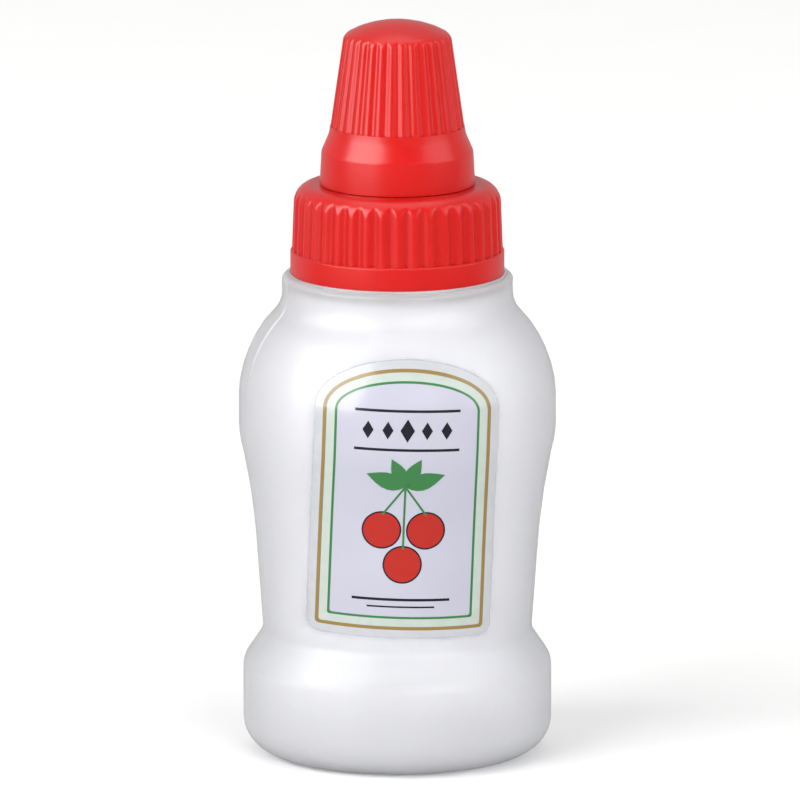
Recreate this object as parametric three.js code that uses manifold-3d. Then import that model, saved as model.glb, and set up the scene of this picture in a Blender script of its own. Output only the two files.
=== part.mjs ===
// Mini squeeze bottle for sauce, about 30 ml: a soft bottle, a screw closure with a nozzle,
// and a screw cap over the nozzle. Millimetres, +Z up, the bottle stands on Z = 0 and its
// axis is the Z axis. The label faces -Y.

import * as THREE from 'three';
import { mergeVertices } from 'three/addons/utils/BufferGeometryUtils.js';
import Module from 'manifold-3d';

const wasm = await Module();
wasm.setup();

// Bottle: the belly's radius, and how far foot, waist and standing ring are set in from it
const bellyRadius = 17.03;
const footInset = 0.43;
const waistInset = 2.58;
const waistTopInset = 1.45;
const standInset = 6.08;

// Bottle: heights of the corners of its outline, up to where the belly ends and the shoulder starts
const heelHeight = 0.4;
const footTop = 10.1;
const waistBottom = 13.3;
const waistTop = 28.6;
const bellyBottom = 35;
const bellyTop = 39.23;

// Bottle: the neck bead, and the shoulder that slopes in to it
const beadRadius = 12.4;
const beadHeight = 3.27;
const shoulderTurn = THREE.MathUtils.degToRad(45);

// Bottle: the rounding of each corner, at shoulder and neck root as shares of the step in to the bead
const footRound = 3.65;
const footTopRound = 2.5;
const waistBottomRound = 1.6;
const waistTopRound = 55;
const bellyRound = 8;
const beadRound = 1.3;
const shoulderRoundShare = 2.592;
const neckRootRoundShare = 0.648;

// Bottle: wall, base and neck
const bottleWall = 0.9;
const standWidth = 1;
const baseHollow = 1.2;
const neckRadius = 8.8;
const neckBore = 7.7;
const rimChamfer = 0.25;
const bottleSides = 40;

// Label: a film laid round the front, turned and leaning a little as it was stuck on
const labelWidth = 19.6;
const labelBottom = 15.4;
const labelShoulder = 40.3;
const labelTop = 45.7;
const labelCorner = 1.3;
const labelFilm = 0.2;
const labelGap = 0.15;
const labelTurn = THREE.MathUtils.degToRad(2.8);
const labelLean = THREE.MathUtils.degToRad(1.9);

// Closure: the ribbed screw collar
const collarGap = 0.3;
const collarHeight = 9.5;
const collarBandRadius = 11.46;
const collarBandHeight = 2.25;
const collarBandLip = 0.14;
const collarTopRadius = 11.05;
const collarRound = 2;
const collarBore = 10.1;
const collarMouthChamfer = 0.3;
const deckThickness = 1.3;
const collarFlutes = 40;
const collarFluteRadius = 0.52;
const collarFluteDepth = 0.5;

// Closure: the boss that carries the cap's thread, and the nozzle
const bossRadius = 6.2;
const bossHeight = 3.85;
const bossRound = 0.5;
const nozzleRootRadius = 5;
const nozzleTipRadius = 2.1;
const nozzleTipRound = 0.4;
const nozzleWall = 1.1;
const orificeRadius = 1.1;
const orificeLength = 3;

// Seals
const gasketThickness = 1;
const gasketOverhang = 0.2;
const plugThickness = 2;
const plugRadius = 3.9;
const plugPinLength = 1.8;
const plugPinClearance = 0.3;

// Nozzle cap
const capGap = 0.3;
const capHeight = 17.4;
const capSkirtRadius = 8.32;
const capSkirtTopRadius = 8.12;
const capSkirtHeight = 3.3;
const capSkirtRound = 0.9;
const capGripRadius = 7.32;
const capGripBottom = 5.15;
const capFlareRound = 2;
const capShoulderRadius = 5.78;
const capShoulderRound = 1.2;
const capDomeRadius = 11.4;
const domeShares = [0.75, 0.4, 0];
const capWall = 1.1;
const capRoof = 1.25;
const capFlutes = 32;
const capFluteBottom = 6;
const capFluteRadius = 0.42;
const capFluteDepth = 0.36;

// How far cutting shapes run past what they cut
const overrun = 2;

// Sizes and heights that follow from the sizes above
const footRadius = bellyRadius - footInset;
const standRadius = bellyRadius - standInset;
const shoulderStep = bellyRadius - beadRadius;
const shoulderRound = shoulderStep * shoulderRoundShare;
const shoulderTop = bellyTop + shoulderRound * Math.tan(shoulderTurn / 2);
const neckRoot = shoulderTop + shoulderStep / Math.tan(shoulderTurn);
const beadTop = neckRoot + beadHeight;
const collarBottom = beadTop + collarGap;
const deckTop = collarBottom + collarHeight;
const deckUnderside = deckTop - deckThickness;
const rimHeight = deckUnderside - gasketThickness;
const capBottom = deckTop + capGap;
const capTop = capBottom + capHeight;
const roofUnderside = capTop - capRoof;
const nozzleTip = roofUnderside - plugThickness;

// Colours and finishes
const bottleFinish = { color: 0xf1f1f4, roughness: 0.38, metalness: 0 };
const labelFinish = { color: 0xdad9e4, roughness: 0.22, metalness: 0 };
const redFinish = { color: 0xe4282a, roughness: 0.32, metalness: 0 };
const gasketFinish = { color: 0xe6e4de, roughness: 0.6, metalness: 0 };
const plugFinish = { color: 0xeeeae0, roughness: 0.5, metalness: 0 };

// A corner of an outline: radius from the axis, height, rounding and the number of chords in it
function corner(radius, height, round = 0, steps = 1) {
  return { at: new THREE.Vector2(radius, height), round, steps };
}

// The outline through the corners, each rounded by an arc of its own radius
function roundedOutline(corners) {
  const points = [];
  corners.forEach((here, index) => {
    const before = corners[index - 1];
    const after = corners[index + 1];
    if (!before || !after || here.round <= 0) {
      points.push(here.at.clone());
      return;
    }
    const back = before.at.clone().sub(here.at).normalize();
    const ahead = after.at.clone().sub(here.at).normalize();
    const half = Math.acos(THREE.MathUtils.clamp(back.dot(ahead), -1, 1)) / 2;
    const centre = back.clone().add(ahead).normalize();
    centre.multiplyScalar(here.round / Math.sin(half)).add(here.at);
    const start = back.multiplyScalar(here.round / Math.tan(half)).add(here.at).sub(centre);
    const turn = (Math.PI - 2 * half) * Math.sign(start.cross(here.at.clone().sub(centre)));
    for (let step = 0; step <= here.steps; step += 1) {
      const angle = turn * step / here.steps;
      points.push(start.clone().rotateAround(new THREE.Vector2(), angle).add(centre));
    }
  });
  return points;
}

// The same corners moved sideways, to the left of the way they run, as a wall's other face
function offsetCorners(corners, distance, coarseness = 1) {
  const ways = corners.slice(1).map((next, i) => next.at.clone().sub(corners[i].at).normalize());
  return corners.map((here, index) => {
    const arriving = ways[Math.max(index - 1, 0)];
    const leaving = ways[Math.min(index, ways.length - 1)];
    const left = new THREE.Vector2(-arriving.y - leaving.y, arriving.x + leaving.x).normalize();
    const spread = left.dot(new THREE.Vector2(-arriving.y, arriving.x));
    const at = left.multiplyScalar(distance / spread).add(here.at);
    const turn = Math.sign(arriving.cross(leaving));
    const round = here.round > 0 ? Math.max(here.round - turn * distance, 0) : 0;
    return { at, round, steps: Math.max(1, Math.round(here.steps / coarseness)) };
  });
}

// A flat arc that rises or sinks from a start on the axis to an end
function bow(axisHeight, endRadius, endHeight, steps) {
  const points = [];
  for (let step = 0; step < steps; step += 1) {
    const share = step / steps;
    points.push(new THREE.Vector2(endRadius * share, axisHeight + (endHeight - axisHeight) * share ** 2));
  }
  return points;
}

// A solid of revolution about Z; the outline runs up the outside and down the inside
function revolve(outline, sides) {
  const lathe = new THREE.LatheGeometry(outline, sides);
  lathe.rotateX(Math.PI / 2);
  return welded(lathe);
}

// One closed mesh with shared corners and no empty triangles
function welded(source) {
  source.deleteAttribute('normal');
  source.deleteAttribute('uv');
  const merged = mergeVertices(source);
  const kept = [];
  for (let i = 0; i < merged.index.count; i += 3) {
    const [a, b, c] = [0, 1, 2].map((k) => merged.index.getX(i + k));
    if (a !== b && b !== c && c !== a) kept.push(a, b, c);
  }
  merged.setIndex(kept);
  return merged;
}

function toSolid(geometry) {
  return new wasm.Manifold(new wasm.Mesh({
    numProp: 3,
    vertProperties: new Float32Array(geometry.attributes.position.array),
    triVerts: new Uint32Array(geometry.index.array),
  }));
}

function toGeometry(solid) {
  const mesh = solid.getMesh();
  const geometry = new THREE.BufferGeometry();
  geometry.setAttribute('position', new THREE.BufferAttribute(mesh.vertProperties, 3));
  geometry.setIndex(new THREE.BufferAttribute(mesh.triVerts, 1));
  return geometry;
}

function piece(name, geometry, finish) {
  const mesh = new THREE.Mesh(geometry, new THREE.MeshStandardMaterial(finish));
  mesh.name = name;
  mesh.geometry.computeVertexNormals();
  return mesh;
}

// The outside of the bottle from the standing ring to the top of the neck bead
function bottleCorners() {
  const standInner = standRadius - standWidth;
  return [
    corner(standInner, 0),
    corner(standRadius, 0),
    corner(footRadius, heelHeight, footRound, 5),
    corner(footRadius, footTop, footTopRound, 3),
    corner(bellyRadius - waistInset, waistBottom, waistBottomRound, 2),
    corner(bellyRadius - waistTopInset, waistTop, waistTopRound, 3),
    corner(bellyRadius, bellyBottom, bellyRound, 2),
    corner(bellyRadius, shoulderTop, shoulderRound, 6),
    corner(beadRadius, neckRoot, shoulderStep * neckRootRoundShare, 3),
    corner(beadRadius, beadTop, beadRound, 3),
    corner(neckRadius, beadTop),
  ];
}

function bottleBody() {
  const outside = bottleCorners();
  const inside = offsetCorners(outside, bottleWall, 2);
  const floor = inside[0].at;
  const neckFoot = inside[inside.length - 1].at;
  neckFoot.x = neckBore;
  const outline = [
    ...bow(baseHollow, outside[0].at.x, 0, 3),
    ...roundedOutline(outside),
    new THREE.Vector2(neckRadius, rimHeight - rimChamfer),
    new THREE.Vector2(neckRadius - rimChamfer, rimHeight),
    new THREE.Vector2(neckBore, rimHeight),
    ...roundedOutline(inside).reverse(),
    ...bow(baseHollow + bottleWall, floor.x, floor.y, 3).reverse(),
  ];
  return piece('bottle_body', revolve(outline, bottleSides), bottleFinish);
}

// A solid that stands off the outside of the bottle by the given distance
function bottleEnvelope(distance) {
  const corners = offsetCorners(bottleCorners(), -distance);
  const first = corners[0].at;
  const last = corners[corners.length - 1].at;
  const outline = [
    new THREE.Vector2(0, first.y),
    ...roundedOutline(corners),
    new THREE.Vector2(0, last.y),
  ];
  return toSolid(revolve(outline, bottleSides));
}

// The label's outline: upright sides, an arched top and round corners at the bottom
function labelShape() {
  const half = labelWidth / 2;
  const shape = new THREE.Shape();
  shape.moveTo(labelCorner - half, labelBottom);
  shape.lineTo(half - labelCorner, labelBottom);
  shape.absarc(half - labelCorner, labelBottom + labelCorner, labelCorner, -Math.PI / 2, 0);
  shape.lineTo(half, labelShoulder);
  shape.absellipse(0, labelShoulder, half, labelTop - labelShoulder, 0, Math.PI);
  shape.lineTo(-half, labelBottom + labelCorner);
  shape.absarc(labelCorner - half, labelBottom + labelCorner, labelCorner, Math.PI, 1.5 * Math.PI);
  return shape;
}

function frontLabel() {
  const depth = bellyRadius + overrun;
  const middle = (labelBottom + labelTop) / 2;
  const cutter = new THREE.ExtrudeGeometry(labelShape(), { depth, bevelEnabled: false, curveSegments: 7 });
  cutter.translate(0, -middle, 0);
  cutter.rotateZ(-labelLean);
  cutter.rotateX(Math.PI / 2);
  cutter.rotateZ(labelTurn);
  cutter.translate(0, 0, middle);
  const film = bottleEnvelope(labelGap + labelFilm).subtract(bottleEnvelope(labelGap));
  const label = film.intersect(toSolid(welded(cutter)));
  return piece('front_label', toGeometry(label), labelFinish);
}

// A ring of round cutters for flutes, each on a line that leans to the axis with the wall it cuts
function fluteCutters(count, cutterRadius, low, high) {
  const length = low.distanceTo(high);
  const lean = Math.atan2(high.x - low.x, high.y - low.y);
  const cutters = [];
  for (let index = 0; index < count; index += 1) {
    const cutter = new THREE.CylinderGeometry(cutterRadius, cutterRadius, length, 8);
    cutter.translate(0, length / 2, 0);
    cutter.rotateX(Math.PI / 2);
    cutter.rotateY(lean);
    cutter.translate(low.x, 0, low.y);
    cutter.rotateZ((index + 0.5) * 2 * Math.PI / count);
    cutters.push(toSolid(welded(cutter)));
  }
  return wasm.Manifold.union(cutters);
}

// Screw collar, deck, boss and nozzle in one moulding
function closureCollar() {
  const bandTop = collarBottom + collarBandHeight;
  const ribRadius = collarBandRadius - collarBandLip;
  const bossTop = deckTop + bossHeight;
  const outline = roundedOutline([
    corner(collarBore + collarMouthChamfer, collarBottom),
    corner(collarBandRadius, collarBottom),
    corner(collarBandRadius, bandTop),
    corner(ribRadius, bandTop + collarBandLip),
    corner(collarTopRadius, deckTop, collarRound, 4),
    corner(bossRadius, deckTop),
    corner(bossRadius, bossTop, bossRound, 2),
    corner(nozzleRootRadius, bossTop),
    corner(nozzleTipRadius, nozzleTip, nozzleTipRound, 2),
    corner(orificeRadius, nozzleTip),
    corner(orificeRadius, nozzleTip - orificeLength),
    corner(nozzleRootRadius - nozzleWall, bossTop - nozzleWall),
    corner(bossRadius - nozzleWall, bossTop - nozzleWall),
    corner(bossRadius - nozzleWall, deckUnderside),
    corner(collarBore, deckUnderside),
    corner(collarBore, collarBottom + collarMouthChamfer),
    corner(collarBore + collarMouthChamfer, collarBottom),
  ]);
  const inset = collarFluteRadius - collarFluteDepth;
  const flutes = fluteCutters(
    collarFlutes,
    collarFluteRadius,
    new THREE.Vector2(ribRadius + inset, bandTop + collarBandLip),
    new THREE.Vector2(collarTopRadius + inset, deckTop + overrun),
  );
  const closure = toSolid(revolve(outline, collarFlutes)).subtract(flutes);
  return piece('closure_collar', toGeometry(closure), redFinish);
}

// Height of the nozzle cap's domed top at a distance from the axis
function domeHeight(radius) {
  return capTop - capDomeRadius + Math.sqrt(capDomeRadius ** 2 - radius ** 2);
}

// The outside of the nozzle cap from its lower edge to the edge of its dome
function capCorners() {
  return [
    corner(capSkirtRadius, capBottom),
    corner(capSkirtTopRadius, capBottom + capSkirtHeight, capSkirtRound, 2),
    corner(capGripRadius, capBottom + capGripBottom, capFlareRound, 3),
    corner(capShoulderRadius, domeHeight(capShoulderRadius), capShoulderRound, 4),
  ];
}

function nozzleCap() {
  const corners = capCorners();
  const [grip, shoulder] = corners.slice(-2).map((here) => here.at);
  const dome = domeShares.map((share) => corner(shoulder.x * share, domeHeight(shoulder.x * share)));
  const inside = offsetCorners(corners, capWall, 2);
  inside[0].at.y = capBottom;
  inside[inside.length - 1].at.y = roofUnderside;
  const outline = [
    new THREE.Vector2(0, roofUnderside),
    ...roundedOutline(inside).reverse(),
    ...roundedOutline([...corners, ...dome]),
  ];
  const wallAt = (height) => {
    const share = (height - grip.y) / (shoulder.y - grip.y);
    return grip.clone().lerp(shoulder, share);
  };
  const inset = new THREE.Vector2(capFluteRadius - capFluteDepth, 0);
  const flutes = fluteCutters(
    capFlutes,
    capFluteRadius,
    wallAt(capBottom + capFluteBottom).add(inset),
    wallAt(capTop).add(inset),
  );
  const cap = toSolid(revolve(outline, capFlutes)).subtract(flutes);
  return piece('nozzle_cap', toGeometry(cap), redFinish);
}

// Flat sealing ring on the neck's rim
function closureGasket() {
  const outer = neckRadius + gasketOverhang;
  const outline = [
    new THREE.Vector2(neckBore, rimHeight),
    new THREE.Vector2(outer, rimHeight),
    new THREE.Vector2(outer, rimHeight + gasketThickness),
    new THREE.Vector2(neckBore, rimHeight + gasketThickness),
    new THREE.Vector2(neckBore, rimHeight),
  ];
  return piece('closure_gasket', revolve(outline, bottleSides), gasketFinish);
}

// Soft plug under the cap's roof, with a pin that stands in the orifice
function orificePlug() {
  const pinRadius = orificeRadius - plugPinClearance;
  const pinEnd = nozzleTip - plugPinLength;
  const outline = roundedOutline([
    corner(0, pinEnd),
    corner(pinRadius, pinEnd, pinRadius / 2, 2),
    corner(pinRadius, nozzleTip),
    corner(plugRadius, nozzleTip),
    corner(plugRadius, roofUnderside),
    corner(0, roofUnderside),
  ]);
  return piece('orifice_plug', revolve(outline, capFlutes), plugFinish);
}

const bottle = new THREE.Group();
bottle.add(bottleBody(), frontLabel());

const closure = new THREE.Group();
closure.add(closureGasket(), closureCollar());

const cap = new THREE.Group();
cap.add(orificePlug(), nozzleCap());

const squeezeBottle = new THREE.Group();
squeezeBottle.add(bottle, closure, cap);

export default squeezeBottle;
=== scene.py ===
import math

import bmesh
import bpy
from mathutils import Matrix, Vector, noise


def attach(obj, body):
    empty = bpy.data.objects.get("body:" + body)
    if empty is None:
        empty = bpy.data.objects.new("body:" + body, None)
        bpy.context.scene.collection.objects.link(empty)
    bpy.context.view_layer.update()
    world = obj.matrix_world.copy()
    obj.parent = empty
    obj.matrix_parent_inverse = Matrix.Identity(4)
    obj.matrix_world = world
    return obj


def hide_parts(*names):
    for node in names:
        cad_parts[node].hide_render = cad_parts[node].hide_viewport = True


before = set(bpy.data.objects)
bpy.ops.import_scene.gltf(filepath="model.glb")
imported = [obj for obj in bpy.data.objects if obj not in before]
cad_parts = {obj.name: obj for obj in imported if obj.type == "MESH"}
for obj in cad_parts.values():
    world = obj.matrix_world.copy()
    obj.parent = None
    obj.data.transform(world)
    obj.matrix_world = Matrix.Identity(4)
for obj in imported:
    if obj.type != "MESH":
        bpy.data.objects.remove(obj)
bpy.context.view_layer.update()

# ---------------------------------------------------------------------------
# Camera. The bottle was photographed from straight in front and a little above,
# from well away with a long lens, so its upright sides hardly lean in.
# ---------------------------------------------------------------------------
MM = 0.001
SIGHT_RISE = math.radians(11.6)
SIGHT_LENGTH = 1.5
SIGHT_AIM = Vector((0.28, 0, 38.24)) * MM

lens = bpy.data.cameras.new("camera")
lens.lens = 629.3
lens.sensor_width = 36
lens.clip_start = 0.05
lens.clip_end = 20
camera = bpy.data.objects.new("camera", lens)
camera.location = SIGHT_AIM + SIGHT_LENGTH * Vector((0, -math.cos(SIGHT_RISE), math.sin(SIGHT_RISE)))
camera.rotation_euler = (math.pi / 2 - SIGHT_RISE, 0, 0)
bpy.context.scene.collection.objects.link(camera)
bpy.context.scene.camera = camera

# ---------------------------------------------------------------------------
# Bottle. Extrusion blow-moulded from a soft, frosted low-density polyethylene:
# one hollow wall with foot, waist, belly, shoulder and neck bead. The two mould
# halves meet in a fine raised line, a little in front of the left side.
# ---------------------------------------------------------------------------
WALL = 0.9
RING_INSIDE = 9.95
RING_OUTSIDE = 10.95
FOOT_RADIUS = 16.6
BELLY_RADIUS = 17.03
BAND_RADIUS = 12.4
NECK_FOOT = 52.1
NECK_RADIUS = 8.8
NECK_BORE = 7.7
RIM_HEIGHT = 59.6
SEAM_ANGLE = math.radians(18)
ROUNDING_STEP = math.radians(7)
# radius, height and rounding of each corner of the outside, from the standing ring up
BOTTLE_OUTSIDE = [
    (RING_INSIDE, 0.0, 0.4),
    (RING_OUTSIDE, 0.0, 0.6),
    (FOOT_RADIUS, 0.4, 3.65),
    (FOOT_RADIUS, 10.1, 2.5),
    (14.45, 13.3, 1.6),
    (15.58, 28.6, 55),
    (BELLY_RADIUS, 35.0, 8),
    (BELLY_RADIUS, 44.2, 12),
    (BAND_RADIUS, 48.83, 3),
    (BAND_RADIUS, NECK_FOOT, 0.6),
]


def chain(corners, closed=False):
    """A flat wire through corners: radius and height in mm, and rounding and number of steps if given."""
    wire = bmesh.new()
    verts = [wire.verts.new((radius, 0, height)) for radius, height, *_ in corners]
    for here, following in zip(verts, verts[1:] + verts[:1] * closed):
        wire.edges.new((here, following))
    for vert, (_, _, *rounding) in zip(verts, corners):
        if not rounding or len(vert.link_edges) < 2:
            continue
        arms = [(edge.other_vert(vert).co - vert.co).normalized() for edge in vert.link_edges]
        half = arms[0].angle(arms[1]) / 2
        steps = max(2, round((math.pi - 2 * half) / ROUNDING_STEP))
        bmesh.ops.bevel(
            wire,
            geom=[vert],
            offset=rounding[0] / math.tan(half),
            offset_type="OFFSET",
            segments=rounding[1] if len(rounding) > 1 else steps,
            profile=0.5,
            affect="VERTICES",
            material=-1,
        )
    return wire


def swept(wire, arcs):
    """The wire turned about the upright axis, through arcs of so many degrees in so many steps."""
    edge = wire.verts[:] + wire.edges[:]
    for degrees, steps in arcs:
        sweep = bmesh.ops.spin(
            wire,
            geom=edge,
            cent=(0, 0, 0),
            axis=(0, 0, 1),
            dvec=(0, 0, 0),
            angle=math.radians(degrees),
            steps=steps,
            use_merge=False,
            use_normal_flip=False,
            use_duplicate=False,
        )
        edge = sweep["geom_last"]
    return wire


def ringed(sector, count):
    """The full round from one sector of it, copied so many times about the upright axis and welded."""
    bmesh.ops.spin(
        sector,
        geom=sector.verts[:] + sector.edges[:] + sector.faces[:],
        cent=(0, 0, 0),
        axis=(0, 0, 1),
        dvec=(0, 0, 0),
        angle=2 * math.pi * (count - 1) / count,
        steps=count - 1,
        use_merge=False,
        use_normal_flip=False,
        use_duplicate=True,
    )
    bmesh.ops.remove_doubles(sector, verts=sector.verts, dist=0.0005)
    bmesh.ops.recalc_face_normals(sector, faces=sector.faces)
    return sector


def finished(shape, name, body, material, crease=40):
    """A piece from a shape in mm: smooth but for its creases, with its material, on its body."""
    bmesh.ops.scale(shape, vec=(MM, MM, MM), verts=shape.verts)
    mesh = bpy.data.meshes.new(name)
    shape.to_mesh(mesh)
    shape.free()
    mesh.shade_smooth()
    mesh.set_sharp_from_angle(angle=math.radians(crease))
    mesh.materials.append(material)
    piece = bpy.data.objects.new(name, mesh)
    bpy.context.scene.collection.objects.link(piece)
    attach(piece, body)
    return piece


def paint(code):
    """The linear colour of an sRGB hex code."""
    shares = [int(code[i : i + 2], 16) / 255 for i in (1, 3, 5)]
    return [c / 12.92 if c <= 0.04045 else ((c + 0.055) / 1.055) ** 2.4 for c in shares] + [1]


def node(material, kind, inputs=None, **settings):
    """A node in the material, with its settings, and its inputs given as values or as output sockets."""
    tree = material.node_tree
    made = tree.nodes.new(kind)
    for name, value in settings.items():
        setattr(made, name, value)
    for name, value in (inputs or {}).items():
        if isinstance(value, bpy.types.NodeSocket):
            tree.links.new(value, made.inputs[name])
        else:
            made.inputs[name].default_value = value
    return made


def repeats(size):
    """The scale of a pattern that repeats every so many mm, because textures count repeats in a metre."""
    return 1 / (size * MM)


def new_material(name):
    """A material with an empty node tree."""
    material = bpy.data.materials.new(name)
    material.use_nodes = True
    material.node_tree.nodes.clear()
    return material


def pattern(material, size, detail):
    """Soft noise in the piece's own space, with marks of about so many mm."""
    place = node(material, "ShaderNodeTexCoord")
    return node(
        material,
        "ShaderNodeTexNoise",
        {"Vector": place.outputs["Object"], "Scale": repeats(size), "Detail": detail},
    )


def blended(material, marks, first, second):
    """The colour that a pattern mixes from two linear colours."""
    mix = node(
        material,
        "ShaderNodeMix",
        {"Factor": marks.outputs["Fac"], "A": first, "B": second},
        data_type="RGBA",
    )
    return mix.outputs["Result"]


# Frosted blow-moulded low-density polyethylene: milky, because light scatters in its 0.9 mm
# wall, waxy and softly shiny outside from the sand-blasted mould, with faint upright streaks
# where the hot tube was stretched. The grain of the sand-blasted mould is near 0.1 mm, and is
# drawn at 0.4 mm, to show.
ldpe = new_material("frosted_blow_moulded_LDPE")
place = node(ldpe, "ShaderNodeTexCoord")
stretched = node(
    ldpe,
    "ShaderNodeMapping",
    {"Vector": place.outputs["Object"], "Scale": (repeats(2.4), repeats(2.4), repeats(25))},
)
streaks = node(ldpe, "ShaderNodeTexNoise", {"Vector": stretched.outputs[0], "Scale": 1, "Detail": 3})
sheen_change = node(
    ldpe,
    "ShaderNodeMapRange",
    {"Value": streaks.outputs["Fac"], "From Min": 0, "From Max": 1, "To Min": 0.34, "To Max": 0.44},
)
grain = pattern(ldpe, 0.4, 2)
grain_bump = node(
    ldpe,
    "ShaderNodeBump",
    {"Height": grain.outputs["Fac"], "Strength": 0.08, "Distance": 0.06 * MM},
)
skin = node(
    ldpe,
    "ShaderNodeBsdfPrincipled",
    {
        "Base Color": blended(ldpe, streaks, paint("#F6F6FC"), paint("#FBFBFF")),
        "Roughness": sheen_change.outputs[0],
        "Normal": grain_bump.outputs[0],
        "IOR": 1.51,
        "Subsurface Weight": 1.0,
        "Subsurface Radius": (1.0, 0.98, 1.0),
        "Subsurface Scale": 0.002,
        "Transmission Weight": 0.75,
    },
)
node(ldpe, "ShaderNodeOutputMaterial", {"Surface": skin.outputs[0]})

# A fine bead stands on the band under the closure. The inside follows the outside one wall
# further in, up to the straight bore of the neck.
BEAD_TOP = NECK_FOOT + 0.25
wall_line = [
    (0.0, 1.2),
    (3.3, 1.15),
    (6.7, 0.75),
    *BOTTLE_OUTSIDE,
    (11.78, NECK_FOOT, 0.03),
    (11.74, BEAD_TOP, 0.07, 4),
    (11.55, BEAD_TOP, 0.05, 3),
    (11.52, NECK_FOOT),
    (NECK_RADIUS, NECK_FOOT, 0.25),
    (NECK_RADIUS, RIM_HEIGHT, 0.3),
    (NECK_BORE, RIM_HEIGHT, 0.2),
    (NECK_BORE, NECK_FOOT - WALL, 1.5),
    (BAND_RADIUS - WALL, NECK_FOOT - WALL, 1.2),
    (BAND_RADIUS - WALL, 48.46, 3.9),
    (BELLY_RADIUS - WALL, 43.83, 11.1),
    (BELLY_RADIUS - WALL, 35.1, 7.1),
    (14.7, 28.7, 54),
    (13.6, 13.6, 2.5),
    (FOOT_RADIUS - WALL, 10.37, 1.6),
    (FOOT_RADIUS - WALL, 1.24, 2.75),
    (RING_OUTSIDE, WALL, 1.2),
    (RING_INSIDE, WALL, 0.8),
    (6.7, 1.65),
    (3.3, 2.05),
    (0.0, 2.1),
]
# Half a round has a sector of 3 degrees in fine steps, with the seam in its middle, and then coarse steps.
SEAM_SECTOR = 3
wall = chain(wall_line)
bmesh.ops.rotate(
    wall,
    cent=(0, 0, 0),
    matrix=Matrix.Rotation(SEAM_ANGLE - math.radians(SEAM_SECTOR / 2), 3, "Z"),
    verts=wall.verts,
)
wall = ringed(swept(wall, ((SEAM_SECTOR, 12), (180 - SEAM_SECTOR, 118))), 2)


def fade(value, low, high):
    """0 below low, 1 above high and a smooth step between."""
    share = min(max((value - low) / (high - low), 0), 1)
    return share * share * (3 - 2 * share)


# The wall is never quite true: it wanders in by less than 0.1 mm. The seam is a ridge with a groove
# beside it, 0.03 mm high above the standing ring and 0.12 mm high on the shoulder.
WANDER = 0.05
SEAM_HEIGHT = 0.03
SHOULDER_SEAM_EXTRA = 0.09
SEAM_GROOVE_SHARE = 0.8
wall.normal_update()
for vert in wall.verts:
    radius = math.hypot(vert.co.x, vert.co.y)
    outward = vert.normal.x * vert.co.x + vert.normal.y * vert.co.y > 0.05 * radius
    under = vert.normal.z < -0.5 and vert.co.z < 1.5
    if outward and 0.5 < vert.co.z < 52:
        wave = noise.noise(vert.co * 0.11) + 0.5 * noise.noise(vert.co * 0.23 + Vector((7, 3, 5)))
        vert.co -= vert.normal * WANDER * (wave * 0.5 + 0.5)
    if (outward or under) and radius > 0.1:
        off_seam = vert.co.x * math.sin(SEAM_ANGLE) - vert.co.y * math.cos(SEAM_ANGLE)
        on_shoulder = fade(vert.co.z, 40, 45) * (1 - fade(vert.co.z, 51, 52.5))
        height = SEAM_HEIGHT * fade(vert.co.z, 0.2, 0.6) + SHOULDER_SEAM_EXTRA * on_shoulder
        vert.co += vert.normal * height * math.exp(-(((off_seam + 0.07) / 0.13) ** 2))
        vert.co -= vert.normal * height * SEAM_GROOVE_SHARE * math.exp(-(((off_seam - 0.16) / 0.08) ** 2))

bottle = finished(wall, "bottle_wall", "bottle", ldpe)
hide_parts("bottle_body")

STEPS_A_TURN = 72


def helix(section, lead, turns, start_height, start_angle, taper, crest_in=False):
    """A screw thread: a section of radius and height, swept up a right-handed helix, with run-out ends."""
    thread = bmesh.new()
    verts = [thread.verts.new((radius, 0, height + start_height)) for radius, height in section]
    rim = thread.faces.new(verts)
    root = min(r for r, _ in section) if not crest_in else max(r for r, _ in section)
    steps = round(turns * STEPS_A_TURN)
    bmesh.ops.rotate(
        thread,
        cent=(0, 0, 0),
        matrix=Matrix.Rotation(start_angle, 3, "Z"),
        verts=thread.verts,
    )
    bmesh.ops.spin(
        thread,
        geom=[rim],
        cent=(0, 0, 0),
        axis=(0, 0, 1),
        dvec=(0, 0, lead * turns / steps),
        angle=turns * 2 * math.pi,
        steps=steps,
        use_merge=False,
        use_normal_flip=False,
        use_duplicate=False,
    )
    middle = sum(height for _, height in section) / len(section)
    for vert in thread.verts:
        radius = math.hypot(vert.co.x, vert.co.y)
        angle = math.atan2(vert.co.y, vert.co.x) - start_angle
        climbed = (vert.co.z - start_height - middle) / lead
        passed = angle / (2 * math.pi) % 1
        passed += round(climbed - passed)
        run_out = min(fade(passed, 0, taper), fade(turns - passed, 0, taper))
        share = (root + (radius - root) * (0.02 + 0.98 * run_out)) / radius
        vert.co.x *= share
        vert.co.y *= share
    bmesh.ops.recalc_face_normals(thread, faces=thread.faces)
    return thread


neck_thread = helix(
    [(8.7, -0.75), (9.35, -0.45), (9.72, -0.2), (9.72, 0.2), (9.35, 0.45), (8.7, 0.75)],
    lead=4,
    turns=1.4,
    start_height=53.7,
    start_angle=math.radians(-60),
    taper=0.08,
)
finished(neck_thread, "neck_thread", "bottle", ldpe, crease=50)

# ---------------------------------------------------------------------------
# Front label. A thin glossy film of pearl-white polypropylene, die-cut, printed
# and stuck round the front of belly and waist by hand, a little turned and leaning.
# Its print is a plain two-line frame, a sprig of red berries and dark ornament.
# ---------------------------------------------------------------------------
LABEL_WIDTH = 19.6
LABEL_BOTTOM = 15.4
LABEL_SPRING = 40.3
LABEL_TOP = 45.7
LABEL_MIDDLE = (LABEL_BOTTOM + LABEL_TOP) / 2
LABEL_TURN = math.radians(2.8)
LABEL_LEAN = math.radians(1.9)
FILM_LIFT = 0.2
SKIN = 0.05
CUT_STEP = 0.8

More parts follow.
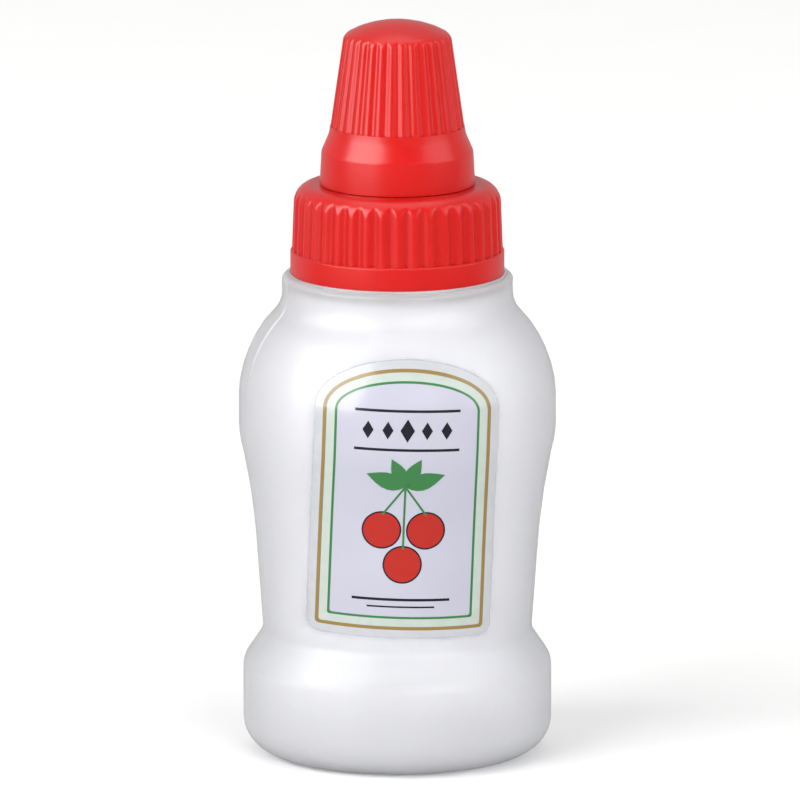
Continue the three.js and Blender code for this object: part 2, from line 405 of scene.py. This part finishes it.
outside_line = chain(BOTTLE_OUTSIDE)
wall_points = sorted((vert.co.z, vert.co.x) for vert in outside_line.verts if vert.co.x > 12)
outside_line.free()


def wall_radius(height):
    """How far the bottle's outside is from its axis at a height in mm."""
    for (low, low_radius), (high, high_radius) in zip(wall_points, wall_points[1:]):
        if low <= height <= high and high > low:
            return low_radius + (high_radius - low_radius) * (height - low) / (high - low)
    return wall_points[-1][1]


def arch(shape, inset=0):
    """The edges of the label's outline in the plane of its front, drawn in by so many mm."""
    half = LABEL_WIDTH / 2 - inset
    bottom = LABEL_BOTTOM + inset
    rise = LABEL_TOP - LABEL_SPRING - inset
    before = set(shape.verts)
    tip = shape.verts.new((half, 0, 0))
    bmesh.ops.spin(
        shape,
        geom=[tip],
        cent=(0, 0, 0),
        axis=(0, -1, 0),
        dvec=(0, 0, 0),
        angle=math.pi,
        steps=36,
    )
    crown = [vert for vert in shape.verts if vert not in before]
    bmesh.ops.scale(shape, vec=(1, 1, rise / half), verts=crown)
    bmesh.ops.translate(shape, vec=(0, 0, LABEL_SPRING), verts=crown)
    crown.sort(key=lambda vert: vert.co.x)
    feet = [shape.verts.new((-half, 0, bottom)), shape.verts.new((half, 0, bottom))]
    for ends in ((crown[0], feet[0]), feet, (feet[1], crown[-1])):
        shape.edges.new(ends)
    bmesh.ops.bevel(
        shape,
        geom=feet,
        offset=max(1.3 - inset, 0.25),
        offset_type="OFFSET",
        segments=8,
        profile=0.5,
        affect="VERTICES",
        material=-1,
    )
    return [edge for edge in shape.edges if not before & set(edge.verts)]


def laid_on(shape, lift, thickness):
    """A flat shape in the label's plane, made so thick and laid round the bottle, lifted off its wall.

    Before that it is cut into small squares, so that it can bend.
    """
    bmesh.ops.recalc_face_normals(shape, faces=shape.faces)
    back = bmesh.ops.extrude_face_region(shape, geom=shape.faces[:], use_keep_orig=True)["geom"]
    back_verts = [part for part in back if isinstance(part, bmesh.types.BMVert)]
    bmesh.ops.translate(shape, vec=(0, thickness, 0), verts=back_verts)
    for axis, low, high in ((0, -10, 10), (2, 15, 46)):
        place_cut = low
        while place_cut < high:
            point, way = [0, 0, 0], [0, 0, 0]
            point[axis], way[axis] = place_cut, 1
            bmesh.ops.bisect_plane(
                shape,
                geom=shape.verts[:] + shape.edges[:] + shape.faces[:],
                dist=1e-5,
                plane_co=point,
                plane_no=way,
                clear_inner=False,
                clear_outer=False,
            )
            place_cut += CUT_STEP
    for vert in shape.verts:
        across, up = vert.co.x, vert.co.z - LABEL_MIDDLE
        x = across * math.cos(LABEL_LEAN) + up * math.sin(LABEL_LEAN)
        z = LABEL_MIDDLE + up * math.cos(LABEL_LEAN) - across * math.sin(LABEL_LEAN)
        radius = wall_radius(z) + lift - vert.co.y
        vert.co = Vector((x, -math.sqrt(radius * radius - x * x), z))
    bmesh.ops.rotate(shape, cent=(0, 0, 0), matrix=Matrix.Rotation(LABEL_TURN, 3, "Z"), verts=shape.verts)
    bmesh.ops.recalc_face_normals(shape, faces=shape.faces)
    return shape


# Pearl polypropylene film under a clear gloss varnish: cool lilac white, with the slight
# wander of a film smoothed down by hand.
film = new_material("gloss_varnished_pearl_PP_film")
wander = pattern(film, 6, 2)
ripple = node(
    film,
    "ShaderNodeBump",
    {"Height": wander.outputs["Fac"], "Strength": 0.12, "Distance": 0.4 * MM},
)
surface = node(
    film,
    "ShaderNodeBsdfPrincipled",
    {
        "Base Color": blended(film, wander, paint("#9A9AA6"), paint("#A2A1AD")),
        "Normal": ripple.outputs[0],
        "Roughness": 0.24,
        "IOR": 1.49,
        "Coat Weight": 0.3,
        "Coat Roughness": 0.12,
    },
)
node(film, "ShaderNodeOutputMaterial", {"Surface": surface.outputs[0]})

sheet = bmesh.new()
bmesh.ops.edgeloop_fill(sheet, edges=arch(sheet))
film_shape = laid_on(sheet, FILM_LIFT, FILM_LIFT + SKIN)
label = finished(film_shape, "label_film", "bottle", film, crease=50)
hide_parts("front_label")


def ink(name, code):
    """Screen-printed ink under the same gloss varnish: flat colour that is a little uneven."""
    material = new_material(name)
    colour = paint(code)
    thick = [channel * 0.82 + 0.012 for channel in colour[:3]] + [1]
    gloss = node(
        material,
        "ShaderNodeBsdfPrincipled",
        {
            "Base Color": blended(material, pattern(material, 1.1, 3), colour, thick),
            "Roughness": 0.26,
            "IOR": 1.49,
            "Coat Weight": 0.3,
            "Coat Roughness": 0.12,
        },
    )
    node(material, "ShaderNodeOutputMaterial", {"Surface": gloss.outputs[0]})
    return material


def printed(shape, name, material, lift):
    """A printed shape on the film, as a skin of ink that stands so many mm off it."""
    skin_shape = laid_on(shape, FILM_LIFT + lift, SKIN)
    return finished(skin_shape, name, "bottle", material, crease=50)


def frame_line(inset, width):
    """A closed line of one width that follows the label's edge."""
    line = bmesh.new()
    bmesh.ops.bridge_loops(line, edges=arch(line, inset) + arch(line, inset + width))
    return line


def spots(centres, radius):
    """Round spots at centres across and up the label."""
    shape = bmesh.new()
    for across, up in centres:
        spot = bmesh.ops.create_circle(shape, cap_ends=True, cap_tris=False, segments=40, radius=1)
        upright = Matrix.Rotation(math.pi / 2, 3, "X")
        bmesh.ops.rotate(shape, cent=(0, 0, 0), matrix=upright, verts=spot["verts"])
        bmesh.ops.scale(shape, vec=(radius, 1, radius), verts=spot["verts"])
        bmesh.ops.translate(shape, vec=(across, 0, up), verts=spot["verts"])
    return shape


def leaves(places):
    """Pointed leaves, each from its foot, with its length, half width and direction."""
    shape = bmesh.new()
    for across, up, length, half, way in places:
        shares = (0.12, 0.25, 0.4, 0.55, 0.7, 0.85)
        upper = [(length * t, half * math.sin(math.pi * t**0.8)) for t in shares]
        lower = [(x, -z) for x, z in reversed(upper)]
        edge = [shape.verts.new((x, 0, z)) for x, z in [(0, 0), *upper, (length, 0), *lower]]
        shape.faces.new(edge)
        turn = Matrix.Rotation(-math.radians(way), 3, "Y")
        bmesh.ops.rotate(shape, cent=(0, 0, 0), matrix=turn, verts=edge)
        bmesh.ops.translate(shape, vec=(across, 0, up), verts=edge)
    return shape


def strokes(lines):
    """Straight strokes, each between two points and of its own width, with cut ends."""
    shape = bmesh.new()
    for x0, z0, x1, z1, width in lines:
        way = Vector((x1 - x0, 0, z1 - z0)).normalized() * width / 2
        side = Vector((-way.z, 0, way.x))
        start, end = Vector((x0, 0, z0)), Vector((x1, 0, z1))
        corners = (start + side, start - side, end - side, end + side)
        shape.faces.new([shape.verts.new(corner) for corner in corners])
    return shape


gold = ink("gold_screen_ink", "#80693A")
green = ink("green_screen_ink", "#316A3B")
pale = ink("pale_green_screen_ink", "#A3ACA5")
dark = ink("dark_screen_ink", "#15151E")
red_ink = ink("red_screen_ink", "#9E1D12")
margin = ink("clear_varnish_margin", "#A6A8AB")

printed(frame_line(0.03, 0.83), "label_margin", margin, 0.008)
printed(frame_line(0.85, 0.36), "print_gold_line", gold, 0.012)
printed(frame_line(1.24, 0.84), "print_pale_band", pale, 0.008)
printed(frame_line(2.08, 0.25), "print_green_line", green, 0.012)

# A sprig of three berries, each with a dark outline, and four leaves on short stems.
berries = [(-2.35, 27.3), (2.35, 27.3), (0, 23.5)]
stems = [(-2.35, 29.0, 0, 32.2, 0.22), (2.35, 29.0, 0, 32.2, 0.22), (0, 25.2, 0, 32.4, 0.22)]
printed(spots(berries, 2.1), "print_berry_edges", dark, 0.012)
printed(spots(berries, 1.93), "print_berries", red_ink, 0.018)
foliage = [
    (0, 32.2, 4.4, 0.95, 18),
    (0, 32.2, 4.4, 0.95, 162),
    (0, 32.3, 3.4, 0.8, 62),
    (0, 32.3, 3.4, 0.8, 118),
]
printed(strokes(stems), "print_stems", green, 0.022)
printed(leaves(foliage), "print_leaves", green, 0.026)

# Dark ornament: a row of lozenges between rules under the arch, and two rules at the foot.
LOZENGE_ROW = 38.4
LOZENGE_SHAPE = 0.62
rules = [
    (-5.6, 36.3, 5.6, 36.3, 0.28),
    (-5.6, 40.5, 5.6, 40.5, 0.28),
    (-5.2, 19.6, 5.2, 19.6, 0.28),
    (-3.6, 18.8, 3.6, 18.8, 0.18),
]
diamond_row = bmesh.new()
for across, half in ((-4.2, 0.95), (-2.1, 0.95), (0, 1.25), (2.1, 0.95), (4.2, 0.95)):
    side = half * LOZENGE_SHAPE
    for x, z in ((-side, 0), (0, -half), (side, 0), (0, half)):
        diamond_row.verts.new((across + x, 0, LOZENGE_ROW + z))
    diamond_row.faces.new(diamond_row.verts[-4:])
printed(diamond_row, "print_lozenges", dark, 0.012)
printed(strokes(rules), "print_rules", dark, 0.014)

# ---------------------------------------------------------------------------
# Closure. One injection moulding in red polypropylene: a ribbed screw collar with
# a plain band at its foot, a flat deck, a threaded boss and the pouring nozzle.
# ---------------------------------------------------------------------------
COLLAR_FOOT = 52.2
COLLAR_BAND_RADIUS = 11.46
BAND_TOP = 54.65
RIB_FOOT = 54.79
DECK_TOP = 61.9
DECK_UNDERSIDE = 60.6
NOZZLE_TIP = 76.35
RIB_RADIUS = 11.32
COLLAR_TOP_RADIUS = 11.05
COLLAR_FLUTES = 40
COLLAR_FLUTE_DEPTH = 0.4
COLLAR_TURN = math.radians(-3.9)
FLUTE_RAMP = 0.03
CREST_CLEARANCE = 0.03
FLUTE_SOFTNESS = 0.008

# Semi-gloss injection-moulded polypropylene in a warm red: the pigment is strong but a little
# light still gets into the plastic, so thin ribs glow, and the steel mould's polish shows in
# soft-edged reflections. The polish marks are near 0.05 mm and are drawn at 0.8 mm, to show.
pp = new_material("semi_gloss_moulded_red_PP")
cloud = pattern(pp, 4.5, 1)
polish = node(
    pp,
    "ShaderNodeMapRange",
    {"Value": cloud.outputs["Fac"], "From Min": 0, "From Max": 1, "To Min": 0.28, "To Max": 0.32},
)
peel = pattern(pp, 0.8, 2)
peel_bump = node(
    pp,
    "ShaderNodeBump",
    {"Height": peel.outputs["Fac"], "Strength": 0.1, "Distance": 0.05 * MM},
)
plastic = node(
    pp,
    "ShaderNodeBsdfPrincipled",
    {
        "Base Color": blended(pp, cloud, paint("#A80F0C"), paint("#AE1310")),
        "Roughness": polish.outputs[0],
        "Normal": peel_bump.outputs[0],
        "IOR": 1.49,
        "Subsurface Weight": 0.25,
        "Subsurface Radius": (1.0, 0.2, 0.15),
        "Subsurface Scale": 0.0006,
    },
)
node(pp, "ShaderNodeOutputMaterial", {"Surface": plastic.outputs[0]})


def fluted(shape, count, depth, low, high, inner):
    """One soft groove in a sector's outside. Low and high are the radius and height of its crests' ends.

    It runs in over a short ramp at its foot, and leaves the rounded shoulder in an arch, because the
    crests' line goes straight on. Nothing nearer to the axis than inner is touched.
    """
    for vert in shape.verts:
        radius = math.hypot(vert.co.x, vert.co.y)
        if vert.co.z < low[1] - 0.01 or radius < inner:
            continue
        share = (vert.co.z - low[1]) / (high[1] - low[1])
        crest = low[0] + (high[0] - low[0]) * share + CREST_CLEARANCE
        across = math.atan2(vert.co.y, vert.co.x) * count / (2 * math.pi)
        cut = radius - crest + depth * math.cos(math.pi * across) ** 2
        soft = 0.5 * (cut + math.sqrt(cut * cut + FLUTE_SOFTNESS))
        soft *= fade(vert.co.z, low[1], low[1] + FLUTE_RAMP)
        vert.co.x *= (radius - soft) / radius
        vert.co.y *= (radius - soft) / radius
    return shape


# Band, ribs, shoulder, deck, boss and nozzle, and back down their inside.
collar_line = [
    (10.4, COLLAR_FOOT, 0.1, 3),
    (COLLAR_BAND_RADIUS, COLLAR_FOOT, 0.15),
    (COLLAR_BAND_RADIUS, BAND_TOP, 0.1),
    *[(RIB_RADIUS - 0.04 * rise, RIB_FOOT + rise) for rise in (0, FLUTE_RAMP / 2, FLUTE_RAMP, 0.2)],
    (11.25, 56.5),
    (11.18, 58.4),
    (11.13, 59.6),
    (COLLAR_TOP_RADIUS, DECK_TOP, 2, 22),
    (6.2, DECK_TOP, 0.35),
    (6.2, 65.75, 0.5),
    (5.0, 65.75, 0.4),
    (2.1, NOZZLE_TIP, 0.4),
    (1.1, NOZZLE_TIP, 0.15),
    (1.1, 73.35, 0.3, 5),
    (3.9, 64.65, 0.3, 5),
    (5.1, 64.65, 0.3, 5),
    (5.1, DECK_UNDERSIDE, 0.3, 5),
    (10.1, DECK_UNDERSIDE, 0.5, 5),
    (10.1, 52.5),
]
collar = swept(chain(collar_line, closed=True), ((360 / COLLAR_FLUTES, 16),))
rib_line = (RIB_RADIUS, RIB_FOOT), (COLLAR_TOP_RADIUS, DECK_TOP)
fluted(collar, COLLAR_FLUTES, COLLAR_FLUTE_DEPTH, *rib_line, inner=10)
ringed(collar, COLLAR_FLUTES)
bmesh.ops.rotate(collar, cent=(0, 0, 0), matrix=Matrix.Rotation(COLLAR_TURN, 3, "Z"), verts=collar.verts)
closure = finished(collar, "closure_moulding", "closure", pp, crease=35)
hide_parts("closure_collar")

collar_thread = helix(
    [(10.15, -0.7), (9.5, -0.4), (9.15, -0.18), (9.15, 0.18), (9.5, 0.4), (10.15, 0.7)],
    lead=4,
    turns=1.3,
    start_height=54.6,
    start_angle=math.radians(20),
    taper=0.08,
    crest_in=True,
)
finished(collar_thread, "collar_thread", "closure", pp, crease=50)
for count, side in enumerate((40, 220), start=1):
    boss_thread = helix(
        [(6.15, -0.5), (6.5, -0.32), (6.75, -0.14), (6.75, 0.14), (6.5, 0.32), (6.15, 0.5)],
        lead=6,
        turns=0.42,
        start_height=62.7,
        start_angle=math.radians(side),
        taper=0.05,
    )
    finished(boss_thread, f"boss_thread_{count}", "closure", pp, crease=50)

# ---------------------------------------------------------------------------
# Gasket. A flat ring of translucent white silicone between the bottle's rim and
# the closure's deck, pressed from sheet, with softly broken edges.
# ---------------------------------------------------------------------------
silicone = new_material("moulded_silicone")
dust = pattern(silicone, 1.4, 3)
rubber = node(
    silicone,
    "ShaderNodeBsdfPrincipled",
    {
        "Base Color": blended(silicone, dust, paint("#E4E2DA"), paint("#EFEDE6")),
        "Roughness": 0.55,
        "IOR": 1.43,
        "Subsurface Weight": 0.5,
        "Subsurface Radius": (1.0, 0.95, 0.9),
        "Subsurface Scale": 0.001,
    },
)
node(silicone, "ShaderNodeOutputMaterial", {"Surface": rubber.outputs[0]})
GASKET_RADIUS = 9
ring_line = [
    (NECK_BORE, RIM_HEIGHT, 0.15),
    (GASKET_RADIUS, RIM_HEIGHT, 0.15),
    (GASKET_RADIUS, DECK_UNDERSIDE, 0.15),
    (NECK_BORE, DECK_UNDERSIDE, 0.15),
]
ring = ringed(swept(chain(ring_line, closed=True), ((36, 16),)), 10)
gasket = finished(ring, "gasket_ring", "gasket", silicone)
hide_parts("closure_gasket")

# ---------------------------------------------------------------------------
# Nozzle cap. Injection-moulded in the same red polypropylene: a plain skirt, a
# flare, a tall grip with 32 flutes that end in small arches, and a domed top.
# ---------------------------------------------------------------------------
CAP_FOOT = 61.95
CAP_ROOF = 78.35
CAP_TOP = 79.6
CAP_FLUTES = 32
CAP_FLUTE_DEPTH = 0.28
CAP_FLUTE_FOOT = 68.2
GRIP_FOOT = (7.32, 67.35)
DOME_RADIUS = 11.4
SHOULDER_RADIUS = 5.78


def dome(radius):
    """Height of the cap's domed top at a distance from the axis."""
    return CAP_TOP - DOME_RADIUS + math.sqrt(DOME_RADIUS**2 - radius**2)


grip_top = (SHOULDER_RADIUS, dome(SHOULDER_RADIUS))


def on_grip(height):
    """The radius of the grip's cone at a height."""
    lean = (grip_top[0] - GRIP_FOOT[0]) / (grip_top[1] - GRIP_FOOT[1])
    return GRIP_FOOT[0] + lean * (height - GRIP_FOOT[1])


flute_start = [CAP_FLUTE_FOOT + rise for rise in (-0.1, 0, FLUTE_RAMP / 2, FLUTE_RAMP, 0.2)]
grip_rows = [*flute_start, 69.5, 71, 72.5, 74, 75, 75.5, 76, 76.4]
# The cap's inside from its roof down, its foot, and the outside up to the middle of the dome.
cap_line = [
    (0.0, CAP_ROOF),
    (4.6, CAP_ROOF, 0.5),
    (on_grip(69) - 1.1, 69.0),
    (6.2, 67.2, 1.0),
    (7.05, 65.3, 1.0),
    (7.22, CAP_FOOT, 0.06),
    (8.32, CAP_FOOT, 0.06),
    (8.12, 65.5, 0.9),
    (*GRIP_FOOT, 2),
    *[(on_grip(z), z) for z in grip_rows],
    (*grip_top, 1.2, 14),
    *[(SHOULDER_RADIUS * share, dome(SHOULDER_RADIUS * share)) for share in (0.75, 0.55, 0.35, 0.15, 0)],
]
cap = swept(chain(cap_line), ((360 / CAP_FLUTES, 18),))
fluted(cap, CAP_FLUTES, CAP_FLUTE_DEPTH, (on_grip(CAP_FLUTE_FOOT), CAP_FLUTE_FOOT), grip_top, inner=5)
screw_cap = finished(ringed(cap, CAP_FLUTES), "cap_moulding", "cap", pp, crease=35)
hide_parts("nozzle_cap")
for count, side in enumerate((130, 310), start=1):
    cap_thread = helix(
        [(7.3, -0.5), (6.85, -0.32), (6.62, -0.14), (6.62, 0.14), (6.85, 0.32), (7.3, 0.5)],
        lead=6,
        turns=0.4,
        start_height=62.9,
        start_angle=math.radians(side),
        taper=0.05,
        crest_in=True,
    )
    finished(cap_thread, f"cap_thread_{count}", "cap", pp, crease=50)

# ---------------------------------------------------------------------------
# Orifice plug. A small natural polyethylene moulding pressed under the cap's
# roof: a disc, and a pin that stops the nozzle.
# ---------------------------------------------------------------------------
natural = new_material("natural_moulded_LDPE")
haze = pattern(natural, 2, 2)
soft = node(
    natural,
    "ShaderNodeBsdfPrincipled",
    {
        "Base Color": blended(natural, haze, paint("#EEEAE0"), paint("#F6F3EA")),
        "Roughness": 0.42,
        "IOR": 1.51,
        "Subsurface Weight": 0.6,
        "Subsurface Radius": (1.0, 0.97, 0.9),
        "Subsurface Scale": 0.0012,
    },
)
node(natural, "ShaderNodeOutputMaterial", {"Surface": soft.outputs[0]})
plug_line = [
    (0.0, 74.55),
    (0.8, 74.55, 0.4),
    (0.8, NOZZLE_TIP, 0.12),
    (3.9, NOZZLE_TIP, 0.2),
    (3.9, CAP_ROOF, 0.15),
    (0.0, CAP_ROOF),
]
stopper = ringed(swept(chain(plug_line), ((45, 12),)), 8)
plug = finished(stopper, "plug_moulding", "plug", natural)
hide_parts("orifice_plug")

# ---------------------------------------------------------------------------
# Studio. A wide sheet of plain white paper in a white room, a large softbox high
# on the left, a dimmer one on the right, a weak overhead light, and a bounce light
# low on the front right. The paper and the bounce light show in no reflection.
# ---------------------------------------------------------------------------
PAPER_RADIUS = 6000
paper = new_material("white_studio_paper")
white = blended(paper, pattern(paper, 16, 2), paint("#E5E5E4"), paint("#E8E8E7"))
matt = node(paper, "ShaderNodeBsdfPrincipled", {"Base Color": white, "Roughness": 0.9})
node(paper, "ShaderNodeOutputMaterial", {"Surface": matt.outputs[0]})
ground = bmesh.new()
bmesh.ops.create_circle(ground, cap_ends=True, cap_tris=False, segments=64, radius=PAPER_RADIUS)
bmesh.ops.scale(ground, vec=(MM, MM, MM), verts=ground.verts)
floor_mesh = bpy.data.meshes.new("studio_floor")
ground.to_mesh(floor_mesh)
ground.free()
floor_mesh.materials.append(paper)
floor = bpy.data.objects.new("studio_floor", floor_mesh)
floor.visible_glossy = False
bpy.context.scene.collection.objects.link(floor)

# The room is dim in front and bright behind, where the white backdrop hangs.
room = bpy.data.worlds.new("white_room")
room.use_nodes = True
facing = node(room, "ShaderNodeTexCoord")
compass = node(room, "ShaderNodeSeparateXYZ", {"Vector": facing.outputs["Generated"]})
backdrop = node(
    room,
    "ShaderNodeMapRange",
    {"Value": compass.outputs["Y"], "From Min": -0.1, "From Max": 0.5, "To Min": 0.02, "To Max": 0.5},
    interpolation_type="SMOOTHSTEP",
)
glow = room.node_tree.nodes["Background"]
glow.inputs["Color"].default_value = (0.98, 0.985, 1.0, 1)
room.node_tree.links.new(backdrop.outputs[0], glow.inputs["Strength"])
bpy.context.scene.world = room
bpy.context.scene.view_settings.view_transform = "Standard"

STAND_DISTANCE = 2.0


def softbox(name, turn, rise, width, height, power):
    """A softbox, metres wide and high, that faces the bottle from so many degrees to the left and up."""
    light = bpy.data.lights.new(name, "AREA")
    light.shape = "RECTANGLE"
    light.size, light.size_y = width, height
    light.energy = power
    stand = bpy.data.objects.new(name, light)
    a, e = math.radians(turn), math.radians(rise)
    way = Vector((-math.sin(a) * math.cos(e), -math.cos(a) * math.cos(e), math.sin(e)))
    stand.location = SIGHT_AIM + way * STAND_DISTANCE
    stand.rotation_mode = "QUATERNION"
    stand.rotation_quaternion = way.to_track_quat("Z", "Y")
    bpy.context.scene.collection.objects.link(stand)
    return stand


softbox("softbox_left", 56, 26, 2.1, 1.7, 65)
softbox("softbox_right", -72, 26, 1.6, 1.7, 16)
bounce = softbox("bounce_right", -29, 18, 1.4, 0.8, 36)
bounce.visible_glossy = False
overhead = bpy.data.lights.new("overhead", "SUN")
overhead.energy = 1.1
overhead.angle = math.radians(60)
overhead_stand = bpy.data.objects.new("overhead", overhead)
bpy.context.scene.collection.objects.link(overhead_stand)
